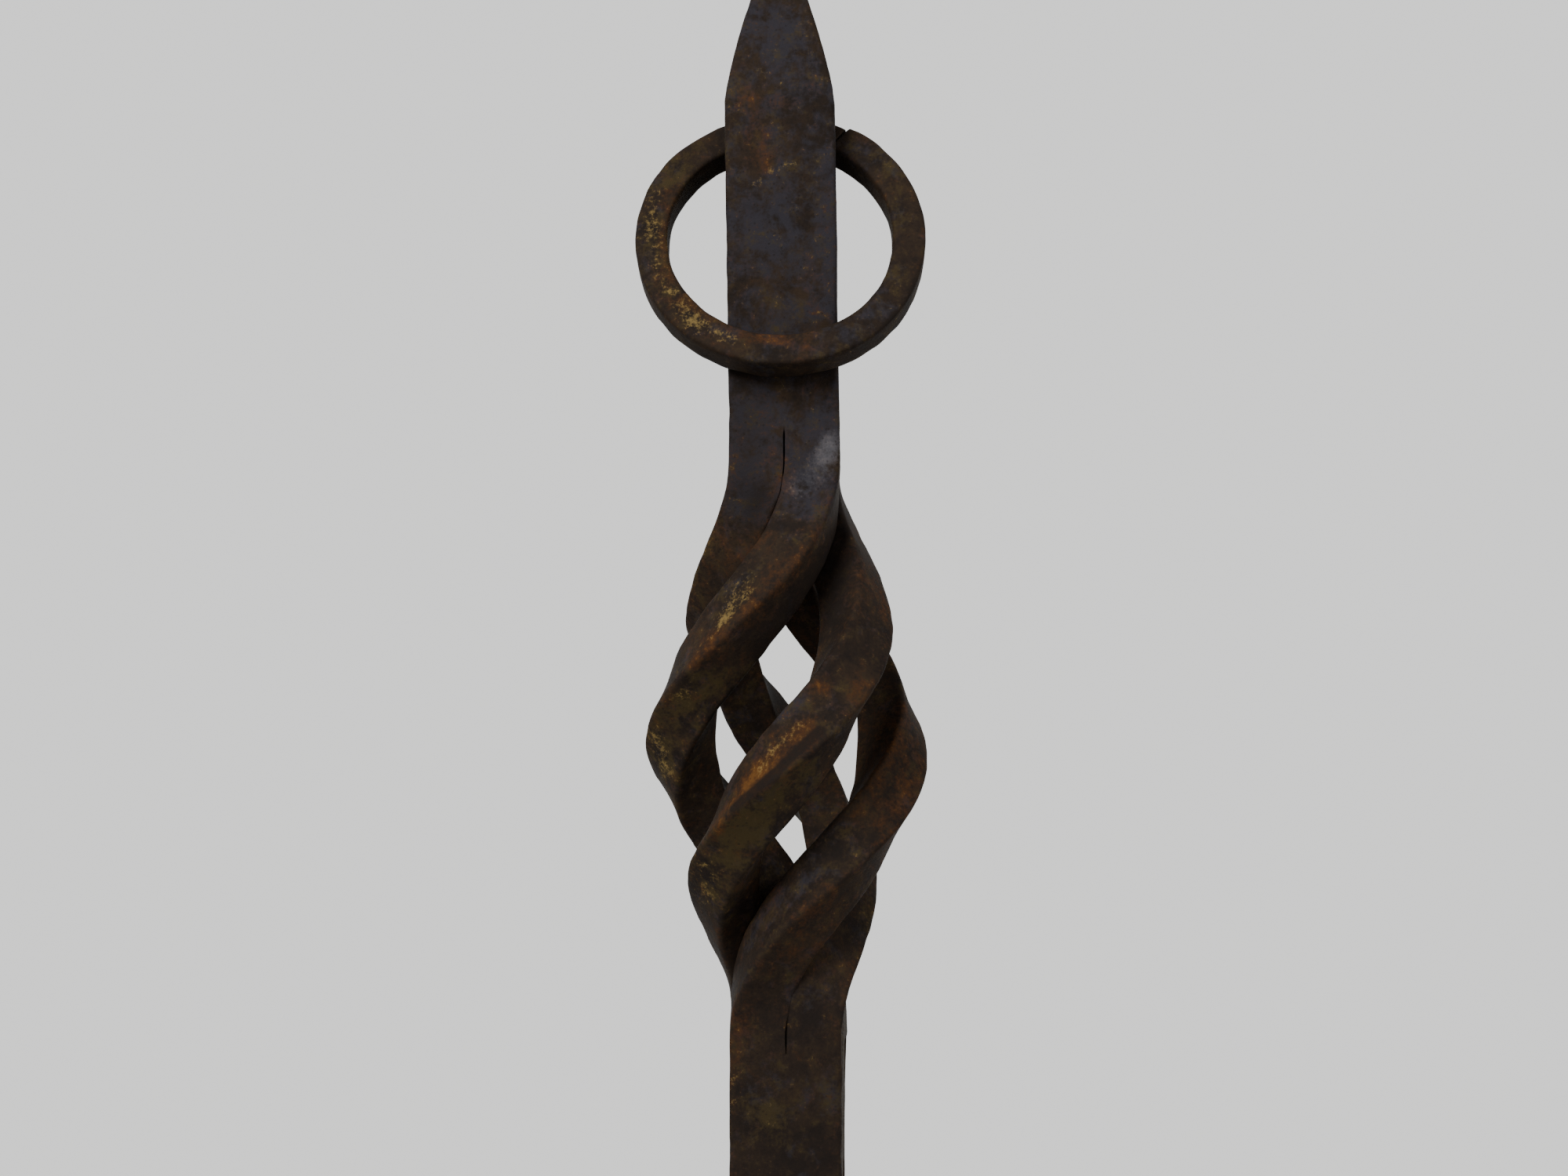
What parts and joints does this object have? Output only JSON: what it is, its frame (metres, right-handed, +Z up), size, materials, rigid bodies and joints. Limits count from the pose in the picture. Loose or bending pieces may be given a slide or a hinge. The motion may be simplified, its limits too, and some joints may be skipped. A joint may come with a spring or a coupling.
{
  "type": "andiron",
  "caption": "Forged iron andiron: spear-point standard with drop ring and twisted basket, arched front leg, and a billet bar bent down into a rear leg.",
  "frame": {"origin": "middle of the whole object's box, on the floor that the toes and the rear foot stand on", "axes": "+Z up; -Y to the front, the side of the standard that faces the room; +Y back along the billet bar into the hearth; +X to the right as seen from the front"},
  "size_m": [0.264, 0.453, 0.4754],
  "materials": {
    "standard_iron": "forged, dark brown-black oxide with a blue-grey sheen, burnished edges",
    "rod_iron": "forged, dark brown with ochre rust on the ridges",
    "ring_iron": "forged, dark brown with yellow and orange rust",
    "billet_iron": "forged, olive brown, rubbed bright on top",
    "leg_iron": "forged, dark brown-black oxide"
  },
  "bodies": {
    "stand": {"standard_head": "standard_iron", "basket_rod_front_left": "rod_iron", "basket_rod_front_right": "rod_iron", "basket_rod_back_right": "rod_iron", "basket_rod_back_left": "rod_iron", "standard_foot": "standard_iron", "billet_bar": "billet_iron", "front_leg": "leg_iron"},
    "ring": {"drop_ring": "ring_iron"}
  },
  "joints": [
    {"name": "ring_swing", "type": "hinge", "parent": "stand", "child": "ring", "pos_m": [0, -0.19406, 0.4272], "axis": [-0.9998, -0.0175, 0], "range_deg": [0, 323]}
  ]
}
